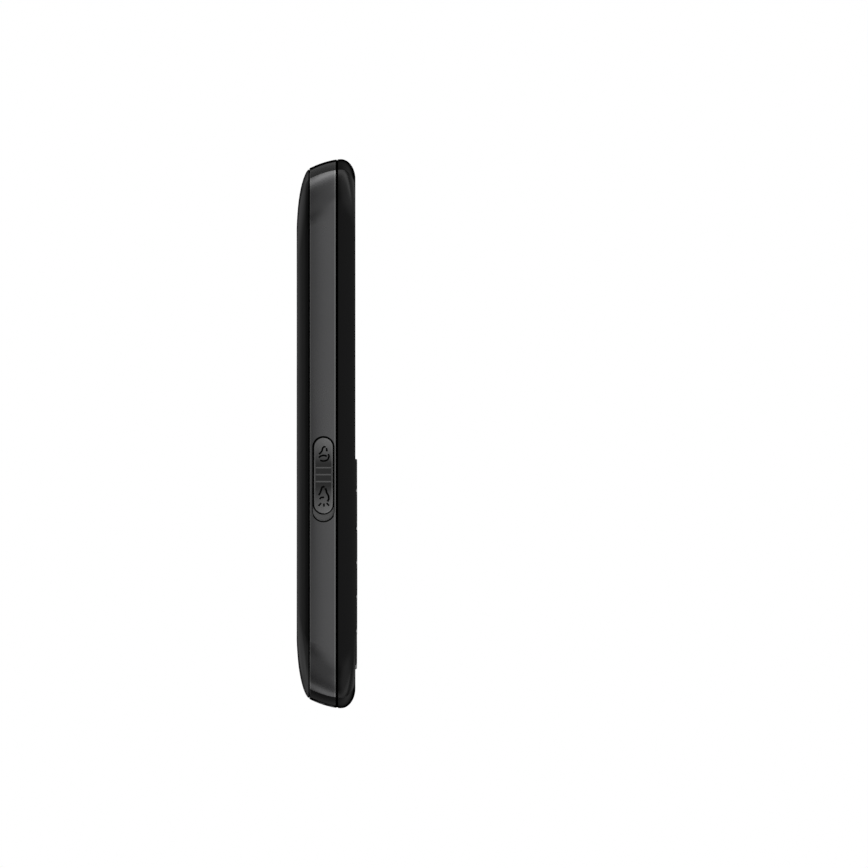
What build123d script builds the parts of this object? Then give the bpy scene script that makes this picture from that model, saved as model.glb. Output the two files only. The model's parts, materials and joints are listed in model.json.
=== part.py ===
from build123d import *
from math import asin, cos, pi, radians, sin, sqrt, tan
import os

# Bar phone with a keypad, in millimetres. +Z runs from the foot to the earpiece end, the screen and the
# keys face -Y, and the torch switch is on the -X side. The origin is the middle of the case, at its foot.

# Case
body_length = 120.0
body_width = 52.0
front_depth = 6.2
back_depth = 6.62
front_seam_y = -2.25
back_seam_y = 3.95
seam_gap = 0.2
seam_depth = 0.15
edge_bevel = 0.15
corner_radius = 12.0
crease_angle = radians(60)
end_arch = 2.3
side_crown = 0.2
front_peak_y = -3.05
front_end_roll = 4.35
front_side_roll = 1.6
side_turn = 0.97
end_fall = 1.98
fall_power = 1.7
back_roll_depth = 3.32
back_end_roll = 14.2
back_side_roll = 6.5

# Walls and clearances of the shells
plate_wall = 1.2
frame_wall = 1.4
tongue_wall = 0.9
tongue_depth = 1.15
cover_wall = 1.0
cover_rim = 2.25
lip_depth = 0.55
lip_clearance = 0.2
seat_gap = 0.1
hand_gap = 0.25
tab_margins = (24.0, 46.0, 24.0)
tab_half = 2.0
tab_front_y = 2.0

# How far joined pieces run into each other, and how far a cut runs past the material
weld = 0.2
past = 1.0

# Keypad
keypad_side_border = 4.0
keypad_foot = 8.5
keypad_top = 54.5
keypad_rim_gap = 0.2
key_gap = 0.35
key_proud = 0.43
key_crown = 0.1
key_bevel = 0.2
key_corner = 0.9
keypad_corner = 3.5
key_back_y = -4.55
key_travel = 0.3
row_smile = 1.2
number_rows_height = 29.85
ring_width = 17.0
ring_corner = 2.6
ring_tilt_gap = 0.1
ring_foot_gap = 0.25
centre_key_size = (7.2, 6.4)
centre_key_corner = 2.2
centre_flange = 0.7
centre_sink = 0.15
flange_wall = 0.35
flange_cover = 0.55
gimbal_hole_gap = 0.6
nub_radius = 0.8
nub_ring_radius = 5.6
plunger_radius = 1.3
touch_gap = 0.05

# Display and earpiece
window_side_border = 4.7
window_strip = 2.2
window_end_border = 9.5
window_thickness = 0.75
window_corner = 4.0
adhesive = 0.1
tape_margin = 0.2
tape_view_gap = 0.1
view_border = 2.0
view_corner = 0.8
module_border = 1.8
module_end_border = 1.3
screen_rim = 0.4
screen_sink = 0.15
gasket = 0.4
gasket_margin = 0.2
gasket_view_gap = 0.3
earpiece_slot = (9.0, 1.4)
earpiece_end = 6.5
mesh_margin = 0.05
mesh_sink = 0.35
mesh_thickness = 0.3
mesh_hole_radius = 0.18
mesh_pitch = 0.72
receiver_width = 12.0
receiver_foot_gap = 0.45
receiver_top_gap = 0.6
sound_channel_depth = 0.4

# Board stack, from the board's front face backwards
board_front_y = -2.4
board_thickness = 0.8
board_gap = 0.4
dome_sheet_thickness = 0.15
dome_height = 0.3
dome_radius = 2.0
small_dome_radius = 1.1
dome_crest_radius = 0.8
mat_thickness = 0.3
mat_rib = 0.8
mat_margin = 0.4
sheet_margin = 1.5
chassis_front_y = -0.3
chassis_step_y = 3.0
bay_floor_y = 0.6
plateau_y = 4.9

# Torch switch on the left side
slider_y = 0.79
slot_foot = 40.9
slot_length = 18.45
slot_width = 4.65
slider_gap = 0.15
slider_end_gap = 0.125
slider_travel = 1.45
slider_flange_lap = 0.22
slider_flange_wall = 0.6
scoop_depth = 0.45
scoop_length = 7.0
scoop_lift = 0.2
grip_rib = (3.2, 0.35)
grip_rib_height = 0.25
grip_pitch = 1.53
slot_reach = 4.0
slider_flange_corner = 1.0
fork_gap = 0.15
fork_prong = 0.6
fork_width = 1.8
lever_size = (1.7, 1.0, 1.2)
switch_size = (2.0, 9.0)
switch_foot = 5.0
switch_back_margin = 1.4
switch_lever_lap = 0.8
switch_slot_depth = 1.2
switch_slot_gap = 0.25
torch_pocket_margins = (4.0, 5.0)

# Lanyard eyelet and nail notch on the right side
eyelet_y = 0.98
eyelet_width = 2.84
eyelet_top_margin = 6.3
eyelet_height = 2.3
eyelet_wall = 1.4
eyelet_high_width = 2.04
eyelet_corner = 0.6
eyelet_high_corner = 0.5
notch_corner = 1.0
notch_run = 4.0
notch_foot = 9.3
notch_length = 10.9
notch_depth = 1.1
notch_width = 1.1

# Battery bay and back side
battery_top_margin = 33.2
battery_thickness = 4.5
battery_side_margin = 8.1
battery_foot = 34.0
battery_gap = 0.25
battery_corner = 1.2
contact_pitch = 3.0
pad_size = (2.0, 2.0, 0.2)
pad_lift = 1.2
blade_size = (1.0, 1.3)
contact_block = (10.4, 3.6, 4.9)
contact_block_gap = 0.6
thumb_radius = 7.0
thumb_lift = 1.4
card_size = (16.2, 24.5)
card_margin = 2.4
card_middle_gap = 1.6
card_row_gap = 4.0
memory_size = (14.6, 15.0)
holder_height = 1.25
holder_corner = 0.6
holder_floor = 0.25
holder_rail = 0.7
holder_lip = 2.2
holder_end = (0.5, 2.0)
spring_size = (1.0, 2.6)
spring_rise = 0.2
spring_pitch = (2.6, 4.5)
spring_start = 4.0
speaker_x = -5.0
speaker_top_margin = 21.5
speaker_size = (16.0, 11.0)
speaker_slot = (9.0, 1.0)
speaker_slot_pitch = 2.0
speaker_y = (1.1, 3.6, 4.0)
speaker_corner = 1.8
speaker_rim = 1.2
cone_size_margins = (6.0, 5.0)
cone_sink = 0.15
grille_y = (4.1, 4.4)
grille_margin = 0.2
grille_hole = (0.9, 1.0)
grille_pitch = (1.5, 1.7)
motor_side_margin = 12.0
motor_radius = 4.0
motor_y = (2.0, 4.6)
pocket_gap = 0.15
plateau_corner = 5.0
plateau_side = 4.5
plateau_foot = 24.0
plateau_top_margin = 13.0

# Sockets, screws and torch lamp
usb_x = 5.6
usb_size = (7.5, 2.45)
usb_length = 5.6
usb_wall = 0.3
usb_tongue = (4.7, 0.5)
usb_corner = 0.5
usb_end_wall = 0.8
usb_tongue_sink = 0.6
usb_mouth_z = 1.1
socket_gap = 0.15
socket_room = 0.5
trim_margin = 2.0
trim_gap = 0.05
jack_x = -5.5
jack_y = 0.85
jack_bore_radius = 1.8
jack_nose_radius = 2.4
jack_mouth_z = 3.0
jack_bore_length = 12.0
jack_end_wall = 1.0
jack_body_width = 6.0
jack_body_depth = 4.8
jack_body_margin = 0.8
mic_side_margin = 10.5
mic_z = 8.6
mic_radius = 2.0
mic_thickness = 1.1
mic_hole_radius = 0.45
mic_hole_lift = 0.7
screw_side_gap = 1.7
screw_foot_margin = 7.25
screw_top_margin = 7.4
screw_radius = 0.7
screw_head = (1.3, 0.8)
screw_sink = 0.2
screw_cross = (1.6, 0.32, 0.4)
screw_length = 7.0
boss_radius = 1.45
screw_gap = 0.1
lamp_y = 0.3
lamp_base = (3.4, 2.6)
lamp_rise = 1.3
lamp_lens_gap = 0.5
lamp_dome = (1.0, 0.8)
lens_radius = 2.0
lens_gap = 0.1
lens_hollow = (1.5, 0.7, 1.4)
lens_floor = 0.3

# Shield cans and antenna
shield_side_margin = 9.0
shield_strip = 9.35
shield_lamp_gap = 5.4
radio_shield_size = (14.0, 15.0)
shield_corner = 1.0
shield_deck_gap = 0.15
vent_radius = 0.5
vent_pitch = 2.2
vent_depth = 0.2
antenna_z = 17.0
antenna_height = 9.0
antenna_side_margin = 8.0
antenna_thickness = 0.2
antenna_slot = (1.0, 6.8)
antenna_pitch = 4.4
antenna_shift = 1.2

# Planes and insets worked out from the sizes above
frame_front_y = front_seam_y + seam_gap / 2
frame_back_y = back_seam_y - seam_gap / 2
housing_back_y = front_seam_y - seam_gap / 2
cover_front_y = back_seam_y + seam_gap / 2
plate_back_y = plate_wall - front_depth
board_back_y = board_front_y + board_thickness
frame_inset = side_crown + frame_wall
frame_drop = end_fall + frame_wall
tongue_inset = frame_inset + seat_gap
tongue_drop = frame_drop + seat_gap
cavity_inset = tongue_inset + tongue_wall
cavity_drop = tongue_drop + tongue_wall
roll_start_y = back_depth - back_roll_depth
keypad_middle = (keypad_foot + keypad_top) / 2
slider_z = slot_foot + slot_length / 2
half_width = body_width / 2
keypad_half = half_width - keypad_side_border
eyelet_top = body_length - eyelet_top_margin
eyelet_low = (eyelet_top - eyelet_height, eyelet_top)
tab_heights = (tab_margins[0], body_length - tab_margins[1], body_length - tab_margins[2])
speaker_centre = (speaker_x, body_length - speaker_top_margin)
motor_centre = (half_width - motor_side_margin, body_length - speaker_top_margin)
plateau_ends = (plateau_foot, body_length - plateau_top_margin)
screw_x = jack_body_width / 2 - jack_x + screw_head[0] + screw_side_gap
screw_top_z = body_length - screw_top_margin
screw_places = [(x, z) for z in (screw_foot_margin, screw_top_z) for x in (-screw_x, screw_x)]
torch_pocket = (slot_foot - torch_pocket_margins[0], slot_foot + slot_length + torch_pocket_margins[1])
mat_front_y = key_back_y + key_travel + touch_gap
dome_top_y = board_front_y - dome_sheet_thickness - dome_height
plunger_back_y = dome_top_y - touch_gap - key_travel


def slab(sketch, y0, y1):
    """Extrudes a sketch drawn in X and Z from y0 to y1."""
    return extrude(Plane(origin=(0, y1, 0), x_dir=(1, 0, 0), z_dir=(0, -1, 0)) * sketch, amount=y1 - y0)


def side_bar(sketch, x0, x1):
    """Extrudes a sketch drawn in Y and Z from x0 to x1."""
    return extrude(Plane(origin=(x0, 0, 0), x_dir=(0, 1, 0), z_dir=(1, 0, 0)) * sketch, amount=x1 - x0)


def post(sketch, z0, z1):
    """Extrudes a sketch drawn in X and Y from z0 to z1."""
    return extrude(Pos(0, 0, z0) * sketch, amount=z1 - z0)


def block(x0, x1, y0, y1, z0, z1):
    """Plain block between two corners."""
    return Pos((x0 + x1) / 2, (y0 + y1) / 2, (z0 + z1) / 2) * Box(x1 - x0, y1 - y0, z1 - z0)


def disc(x, z, radius, y0, y1):
    """Round bar along Y."""
    return slab(Pos(x, z) * Circle(radius), y0, y1)


def rounded(x, z, width, height, radius, y0, y1):
    """Plate with rounded corners, across Y."""
    return slab(Pos(x, z) * RectangleRounded(width, height, radius), y0, y1)


def end_drop(y):
    """How far the case's ends stand in from the full length at depth y."""
    if y < front_peak_y:
        turn = (front_peak_y - y) / (front_depth + front_peak_y)
        return front_end_roll * (1 - sqrt(max(0.0, 1 - turn * turn)))
    return end_fall * ((y - front_peak_y) / (frame_back_y - front_peak_y)) ** fall_power


def side_inset(y):
    """How far the case's sides stand in from the full width at depth y."""
    if y < front_seam_y:
        turn = side_turn * (front_seam_y - y) / (front_depth + front_seam_y)
        return side_crown + front_side_roll * (1 - sqrt(1 - turn * turn))
    middle = (front_seam_y + back_seam_y) / 2
    share = (y - middle) / (back_seam_y - middle)
    return side_crown * share * share


def outline(y, inset, drop):
    """Section of the case at depth y: arched ends that meet the rounded corners in a crease."""
    half = half_width - inset
    centre_x = half - corner_radius
    crease_x = centre_x + corner_radius * cos(crease_angle)
    crease_z = body_length - drop - end_arch
    corner_z = crease_z - corner_radius * sin(crease_angle)
    turn_x = centre_x + corner_radius * cos(crease_angle / 2)
    turn_z = corner_z + corner_radius * sin(crease_angle / 2)
    way = [(half, corner_z), (turn_x, turn_z), (crease_x, crease_z), (0, body_length - drop)]
    way += [(-x, z) for x, z in reversed(way[:3])]
    edges = []
    for end in (1, -1):
        p = [Vector(end * x, y, z if end > 0 else body_length - z) for x, z in way]
        edges += [ThreePointArc(p[0], p[1], p[2]), ThreePointArc(p[2], p[3], p[4])]
        edges += [ThreePointArc(p[4], p[5], p[6]), Line(p[6], Vector(p[6].X, y, body_length - p[6].Z))]
    return Face(Wire(edges))


def case_loft(depths):
    """Skin of the case through its sections at the given depths."""
    return loft([outline(y, side_inset(y), end_drop(y)) for y in depths])


def prism(inset, drop, y0, y1):
    """Straight prism with the case's outline, inset from its full length and width."""
    return extrude(outline(y0, inset, drop), amount=y1 - y0, dir=(0, 1, 0))


def bevel_loft(y_edge, y_full):
    """Bevelled rim of the frame, from its edge plane to the full section."""
    rim = outline(y_edge, side_inset(y_full) + edge_bevel, end_drop(y_full) + edge_bevel)
    return loft([rim, outline(y_full, side_inset(y_full), end_drop(y_full))], ruled=True)


def frame_skin():
    """The mid frame's outside as one solid, with a small bevel on both rims."""
    y_front = frame_front_y + edge_bevel
    y_back = frame_back_y - edge_bevel
    depths = [y_front + (y_back - y_front) * k / 4 for k in range(5)]
    return case_loft(depths) + bevel_loft(frame_front_y, y_front) + bevel_loft(frame_back_y, y_back)


cover_start = asin((cover_front_y - roll_start_y) / back_roll_depth)
cover_edge_drop = end_fall + seam_gap * back_end_roll / back_roll_depth * tan(cover_start)
cover_inset = side_crown + cover_rim
cover_drop = cover_edge_drop + cover_rim


def cover_face(turn, wall, rim):
    """Section of the back cover's outside, or of its hollow when wall and rim are given."""
    reach = back_roll_depth - wall
    start = asin((cover_front_y - roll_start_y) / reach)
    angle = start + (pi / 2 - start) * turn
    fall = cos(start) - cos(angle)
    inset = side_crown + rim + (back_side_roll - rim) * fall
    drop = cover_edge_drop + rim + (back_end_roll - rim) * fall
    return outline(roll_start_y + reach * sin(angle), inset, drop)


def straight_or_arc(points):
    """Edge through three points, straight where they are in line."""
    (xa, za), (xb, zb), (xc, zc) = points
    if abs((xc - xa) * (zb - za) - (xb - xa) * (zc - za)) < 0.001:
        return Line(points[0], points[2])
    return ThreePointArc(*points)


def field(x0, x1, low, high):
    """Sketch from x0 to x1 between two edge curves given as functions of x."""
    middle = (x0 + x1) / 2
    lower = straight_or_arc([(x, low(x)) for x in (x0, middle, x1)])
    upper = straight_or_arc([(x, high(x)) for x in (x1, middle, x0)])
    return make_face([lower, Line(lower @ 1, upper @ 0), upper, Line(upper @ 1, lower @ 0)])


def row_edge(base):
    """Edge of a key row: it rises from its base in the middle towards the sides."""
    return lambda x: base + row_smile * (x / keypad_half) ** 2


def key_front_y(z):
    """Front of a key at height z: the keypad is slightly crowned along its length."""
    share = (z - keypad_middle) / (keypad_top - keypad_middle)
    return -front_depth - key_proud + key_crown * share * share


column_width = (2 * keypad_half - 2 * key_gap) / 3
row_pitch = number_rows_height / 4
number_top = keypad_foot + number_rows_height
side_key_height = (keypad_top - number_top - key_gap) / 2


def keypad_sketch(gap):
    """The keypad's outline, grown by a gap."""
    top = keypad_top + gap
    sketch = field(-keypad_half - gap, keypad_half + gap, row_edge(keypad_foot - gap), lambda x: top)
    corners = sketch.vertices().sort_by(Axis.Y)
    sketch = fillet(corners[:2], keypad_corner + gap)
    return fillet(sketch.vertices().sort_by(Axis.Y)[-2:], max(0.4, key_corner + gap))


def key(sketch, x, z, at_corner=False):
    """Key cap with rounded corners and a bevelled front, and the plunger that presses its dome."""
    body = slab(sketch, key_front_y(z), key_back_y)
    if at_corner:
        uprights = body.edges().filter_by(Axis.Y)
        body = fillet(uprights.sort_by(lambda e: abs(e.center().X) - e.center().Z)[-1], keypad_corner)
    uprights = body.edges().filter_by(Axis.Y)
    if at_corner:
        uprights = uprights.sort_by(lambda e: abs(e.center().X) - e.center().Z)[:3]
    body = fillet(uprights, key_corner)
    body = chamfer(body.faces().sort_by(Axis.Y)[0].edges(), key_bevel)
    return body + disc(x, z, plunger_radius, key_back_y, plunger_back_y)


def number_key(column, row):
    """Number key and its middle: column 0 to 2 from the left, row 0 to 3 from the foot."""
    x0 = -keypad_half + column * (column_width + key_gap)
    base = keypad_foot + row * row_pitch
    sketch = field(x0, x0 + column_width, row_edge(base), row_edge(base + row_pitch - key_gap))
    x = x0 + column_width / 2
    z = base + row_smile * (x / keypad_half) ** 2 + (row_pitch - key_gap) / 2
    return key(sketch, x, z, row == 0 and column != 1), (x, z)


def side_key(side, upper):
    """Key beside the direction ring, and its middle."""
    x0, x1 = sorted((side * (ring_width / 2 + key_gap), side * keypad_half))
    base = number_top + (side_key_height + key_gap) * upper
    top = keypad_top
    high = (lambda x: top) if upper else row_edge(base + side_key_height)
    sketch = field(x0, x1, row_edge(base), high)
    x = (x0 + x1) / 2
    z = base + row_smile * (x / keypad_half) ** 2 * (1 - upper / 2) + side_key_height / 2
    return key(sketch, x, z), (x, z)


parts = {}
key_places = []
ring_places = []

number_names = [["key_star", "key_0", "key_hash"], ["key_7", "key_8", "key_9"]]
number_names += [["key_4", "key_5", "key_6"], ["key_1", "key_2", "key_3"]]
for row, names in enumerate(number_names):
    for column, name in enumerate(names):
        parts[name], place = number_key(column, row)
        key_places.append(place)

side_names = {(-1, 1): "soft_key_left", (1, 1): "soft_key_right", (-1, 0): "call_key", (1, 0): "end_key"}
for (side, upper), name in side_names.items():
    parts[name], place = side_key(side, upper)
    key_places.append(place)


# Direction ring on its gimbal, with the centre key inside
ring_foot = number_top + ring_foot_gap
ring_height = keypad_top - ring_foot
ring_z = ring_foot + ring_height / 2
ring_back_y = key_back_y - ring_tilt_gap
flange_front_y = ring_back_y - flange_cover
gimbal_front_y = ring_back_y + hand_gap
gimbal_back_y = gimbal_front_y + flange_wall


def ring_plug(size, corner, grow, y0, y1):
    """Plate with rounded corners on the ring's axis, its outline grown by a gap."""
    return rounded(0, ring_z, size[0] + 2 * grow, size[1] + 2 * grow, corner + grow, y0, y1)


def make_direction_ring():
    """Rounded ring that tilts four ways, with a nub under each of its four arrows."""
    front_y = key_front_y(ring_z)
    ring = ring_plug((ring_width, ring_height), ring_corner, 0, front_y, ring_back_y)
    ring = chamfer(ring.faces().sort_by(Axis.Y)[0].edges(), key_bevel)
    ring -= ring_plug(centre_key_size, centre_key_corner, hand_gap, front_y - 1, ring_back_y)
    grow = centre_flange + hand_gap
    ring -= ring_plug(centre_key_size, centre_key_corner, grow, flange_front_y - centre_sink, ring_back_y)
    for place in PolarLocations(nub_ring_radius, 4):
        at = place.position
        ring += disc(at.X, ring_z + at.Y, nub_radius, ring_back_y, plunger_back_y)
        ring_places.append((at.X, ring_z + at.Y))
    return ring


def make_centre_key():
    """Key in the middle of the ring, kept in by its flange."""
    flange_back_y = flange_front_y + flange_wall
    cap = ring_plug(centre_key_size, centre_key_corner, 0, key_front_y(ring_z) + centre_sink, flange_back_y)
    cap = chamfer(cap.faces().sort_by(Axis.Y)[0].edges(), key_bevel)
    cap += ring_plug(centre_key_size, centre_key_corner, centre_flange, flange_front_y, flange_back_y)
    cap += disc(0, ring_z, plunger_radius, flange_back_y, plunger_back_y)
    ring_places.append((0, ring_z))
    return cap


gimbal = ring_plug(centre_key_size, centre_key_corner, centre_flange, gimbal_front_y, gimbal_back_y)
gimbal -= disc(0, ring_z, plunger_radius + gimbal_hole_gap, gimbal_front_y, gimbal_back_y)
parts["ring_gimbal"] = gimbal
parts["direction_ring"] = make_direction_ring()
parts["centre_key"] = make_centre_key()


# Keypad mat and dome sheet
mat_back_y = mat_front_y + mat_thickness
mat_sketch = keypad_sketch(-mat_margin)
mat_inner = keypad_sketch(-mat_margin - mat_rib)
mat = slab(mat_sketch, mat_front_y, mat_back_y)
mat += slab(mat_sketch - mat_inner, mat_back_y, board_front_y - touch_gap)
for x, z in key_places:
    mat -= disc(x, z, plunger_radius + hand_gap, mat_front_y, mat_back_y)
mat -= ring_plug((ring_width, ring_height), ring_corner, -mat_rib, mat_front_y, mat_back_y)
parts["keypad_mat"] = mat

sheet_front_y = board_front_y - dome_sheet_thickness
sheet = slab(keypad_sketch(-sheet_margin), sheet_front_y, board_front_y)
for places, radius in ((key_places, dome_radius), (ring_places, small_dome_radius)):
    for x, z in places:
        seat = Plane(origin=(x, sheet_front_y, z), x_dir=(1, 0, 0), z_dir=(0, -1, 0))
        dome = Cone(radius, dome_crest_radius, dome_height, align=(Align.CENTER, Align.CENTER, Align.MIN))
        sheet += seat * dome
parts["dome_sheet"] = sheet


# Display, window and earpiece
window_half = half_width - window_side_border
window_foot = keypad_top + window_strip
window_top = body_length - window_end_border
window_z = (window_foot + window_top) / 2
window_height = window_top - window_foot
pocket_back_y = -front_depth + window_thickness + adhesive
view_width = 2 * (window_half - view_border)
view_height = window_height - 2 * view_border
module_width = view_width + 2 * module_border
module_height = view_height + 2 * module_end_border
module_front_y = plate_back_y + gasket
module_back_y = board_front_y - touch_gap

parts["display_window"] = rounded(0, window_z, 2 * window_half, window_height, window_corner,
                                  -front_depth, -front_depth + window_thickness)
frame_tape = rounded(0, window_z, 2 * (window_half - tape_margin), window_height - 2 * tape_margin,
                     window_corner - tape_margin, pocket_back_y - adhesive, pocket_back_y)
frame_tape -= rounded(0, window_z, view_width + 2 * tape_view_gap, view_height + 2 * tape_view_gap,
                      view_corner + tape_view_gap, -front_depth, plate_back_y)
parts["window_adhesive"] = frame_tape

screen_half = view_width / 2 - screen_rim
screen_rise = view_height / 2 - screen_rim
module = rounded(0, window_z, module_width, module_height, view_corner, module_front_y, module_back_y)
module -= block(-screen_half, screen_half, module_front_y - past, module_front_y + screen_sink,
                window_z - screen_rise, window_z + screen_rise)
parts["display_module"] = module
seal = rounded(0, window_z, module_width - 2 * gasket_margin, module_height - 2 * gasket_margin,
               view_corner, plate_back_y, module_front_y)
seal -= rounded(0, window_z, view_width + 2 * gasket_view_gap, view_height + 2 * gasket_view_gap,
                view_corner, plate_back_y - past, module_front_y + past)
parts["display_gasket"] = seal

earpiece_z = body_length - earpiece_end
slot_long, slot_high = earpiece_slot
mesh_front_y = mesh_sink - front_depth
mesh_sketch = Pos(0, earpiece_z) * SlotOverall(slot_long - 2 * mesh_margin, slot_high - 2 * mesh_margin)
mesh = slab(mesh_sketch, mesh_front_y, mesh_front_y + mesh_thickness)
mesh_steps = int((slot_long - slot_high) / 2 / mesh_pitch)
for step in range(-mesh_steps, mesh_steps + 1):
    mesh -= disc(step * mesh_pitch, earpiece_z, mesh_hole_radius, mesh_front_y - past, mesh_front_y + past)
parts["earpiece_mesh"] = mesh
receiver_low = window_top + receiver_foot_gap
receiver_high = body_length - cavity_drop - receiver_top_gap
receiver = block(-receiver_width / 2, receiver_width / 2, plate_back_y + touch_gap,
                 board_front_y - touch_gap, receiver_low, receiver_high)
channel = Pos(0, earpiece_z) * SlotOverall(slot_long - slot_high / 2, slot_high * 2 / 3)
receiver -= slab(channel, plate_back_y - past, plate_back_y + sound_channel_depth)
parts["receiver"] = receiver


# Front housing: front plate, side walls, a tongue into the frame and four screw bosses
def seam_ledge(y_seam, drop, y0, y1):
    """Ledge behind a seam, so that the gap between two shells is only a groove."""
    return prism(side_inset(y_seam) + seam_depth, drop + seam_depth, y0, y1)


def make_front_housing():
    """Black front shell with the window pocket, the keypad opening and the earpiece slot."""
    reach = front_depth + front_peak_y
    depths = [housing_back_y] + [front_peak_y - reach * sin(radians(18 * k)) for k in range(6)]
    shell = case_loft(depths)
    tongue_back_y = housing_back_y + tongue_depth
    shell += seam_ledge(housing_back_y, end_drop(housing_back_y), housing_back_y - weld, frame_front_y)
    shell += prism(tongue_inset, tongue_drop, housing_back_y - weld, tongue_back_y)
    shell -= prism(cavity_inset, cavity_drop, plate_back_y, tongue_back_y + past)
    for x, z in screw_places:
        shell += disc(x, z, boss_radius, plate_back_y - weld, board_front_y - touch_gap)
        shell -= disc(x, z, screw_radius + screw_gap, plate_back_y, board_front_y)
    shell -= slab(keypad_sketch(keypad_rim_gap), -front_depth - past, plate_back_y + past)
    shell -= rounded(0, window_z, 2 * (window_half + seat_gap), window_height + 2 * seat_gap,
                     window_corner + seat_gap, -front_depth - past, pocket_back_y)
    shell -= rounded(0, window_z, view_width, view_height, view_corner, -front_depth, plate_back_y + past)
    slot = Pos(0, earpiece_z) * SlotOverall(slot_long, slot_high)
    shell -= slab(slot, -front_depth - past, plate_back_y + past)
    tongue_y = (frame_front_y, tongue_back_y + past)
    shell -= block(-half_width, -half_width + slot_reach, *tongue_y, *torch_pocket)
    usb_half = usb_size[0] / 2 + socket_room
    shell -= block(usb_x - usb_half, usb_x + usb_half, *tongue_y, 0, cavity_drop + end_arch)
    jack_half = jack_body_width / 2 + socket_room
    shell -= block(jack_x - jack_half, jack_x + jack_half, *tongue_y, 0, cavity_drop + end_arch)
    return shell


parts["front_housing"] = make_front_housing()


# Mid frame: the satin band with the switch slot, the lanyard eyelet and the nail notch
eyelet_high_x = half_width - corner_radius + corner_radius * cos(crease_angle)
boss_low_x = eyelet_high_x - eyelet_wall
boss_low_z = eyelet_low[0] - eyelet_wall
eyelet_boss_y = (tongue_depth + housing_back_y + pocket_gap, chassis_step_y + weld)


def make_mid_frame():
    """Band round the middle of the case."""
    skin = frame_skin()
    band = skin - prism(frame_inset, frame_drop, frame_front_y - past, frame_back_y + past)
    corner = block(boss_low_x, half_width, *eyelet_boss_y, boss_low_z, body_length)
    band += skin & corner
    y0 = eyelet_y - eyelet_width / 2
    y1 = eyelet_y + eyelet_width / 2
    low = side_bar(Pos(eyelet_y, sum(eyelet_low) / 2) * RectangleRounded(
        eyelet_width, eyelet_height, eyelet_corner), eyelet_high_x, half_width + past)
    high = block(eyelet_high_x, eyelet_high_x + eyelet_high_width, y0, y1, eyelet_low[0], body_length)
    high = fillet(high.edges().filter_by(Axis.Z), eyelet_high_corner)
    band -= low + high
    slot = side_bar(Pos(slider_y, slider_z) * SlotOverall(slot_length, slot_width, rotation=90),
                    -half_width - past, -half_width + slot_reach)
    band -= slot
    notch_y = frame_back_y - notch_width + notch_run / 2
    notch = RectangleRounded(notch_run, notch_length, notch_corner)
    notch = Pos(notch_y, notch_foot + notch_length / 2) * notch
    band -= side_bar(notch, half_width - notch_depth, half_width + past)
    foot_holes = Pos(usb_x, board_back_y + usb_size[1] / 2) * RectangleRounded(
        usb_size[0] + 2 * socket_gap, usb_size[1] + 2 * socket_gap, usb_corner + socket_gap)
    foot_holes += Pos(jack_x, jack_y) * Circle(jack_nose_radius + seat_gap)
    mic_x = half_width - mic_side_margin
    foot_holes += Pos(mic_x, board_back_y + mic_hole_lift) * Circle(mic_hole_radius)
    band -= post(foot_holes, -past, cavity_drop + end_arch)
    band -= post(Pos(0, lamp_y) * Circle(lens_radius + seat_gap), body_length - cavity_drop,
                 body_length + past)
    return band


whole_frame = make_mid_frame()

# Foot trim: the stretch of the band round the two sockets, a piece of its own between butt joints
trim_left = jack_x - jack_nose_radius - trim_margin
trim_right = usb_x + usb_size[0] / 2 + trim_margin
trim_box = (frame_front_y - past, frame_back_y + past, -past, cavity_drop + end_arch)
parts["foot_trim"] = whole_frame & block(trim_left, trim_right, *trim_box)
parts["mid_frame"] = whole_frame - block(trim_left - trim_gap, trim_right + trim_gap, *trim_box)


# Torch switch: the button in its slot, the lever it drives and the switch on the board
flange_x = -(half_width - frame_inset) + lip_clearance / 2 + touch_gap
flange_inner_x = flange_x + slider_flange_wall
button_length = slot_length - slider_travel - 2 * slider_end_gap
button_z = slot_foot + slot_length - slider_end_gap - button_length / 2
lever_z = button_z
lever_reach, lever_width, lever_height = lever_size


def make_torch_slider():
    """Button with a scooped grip and three ribs, a flange behind the wall and a fork for the lever."""
    stem = Pos(slider_y, button_z) * SlotOverall(button_length, slot_width - 2 * slider_gap, rotation=90)
    button = side_bar(stem, -half_width - past, flange_x) & frame_skin()
    rim = button.faces().sort_by(Axis.X)[0].edges()
    button = chamfer(rim, key_bevel)
    radius = (scoop_length ** 2 / 4 + scoop_depth ** 2) / (2 * scoop_depth)
    scoop_z = button_z + scoop_lift
    scoop = Pos(-half_width + scoop_depth - radius, slider_y, scoop_z) * (
        Rot(90, 0, 0) * Cylinder(radius, slot_width - 2 * slider_gap - 2 * key_bevel))
    button -= scoop
    for step in (-1, 0, 1):
        z = scoop_z + step * grip_pitch
        floor_x = scoop_depth - (step * grip_pitch) ** 2 / (2 * radius) - half_width
        button += block(floor_x - grip_rib_height, floor_x + grip_rib_height, slider_y - grip_rib[0] / 2,
                        slider_y + grip_rib[0] / 2, z - grip_rib[1] / 2, z + grip_rib[1] / 2)
    flange_length = slot_length + slider_travel + 2 * slider_flange_lap
    flange = RectangleRounded(slot_width + 2 * slider_flange_lap, flange_length, slider_flange_corner)
    button += side_bar(Pos(slider_y, slider_z + slider_travel / 2) * flange, flange_x, flange_inner_x)
    for side in (-1, 1):
        z0 = lever_z + side * (lever_height / 2 + fork_gap)
        low, high = sorted((z0, z0 + side * fork_prong))
        button += block(flange_inner_x, flange_inner_x + fork_prong, slider_y - fork_width / 2,
                        slider_y + fork_width / 2, low, high)
    return button


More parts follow.
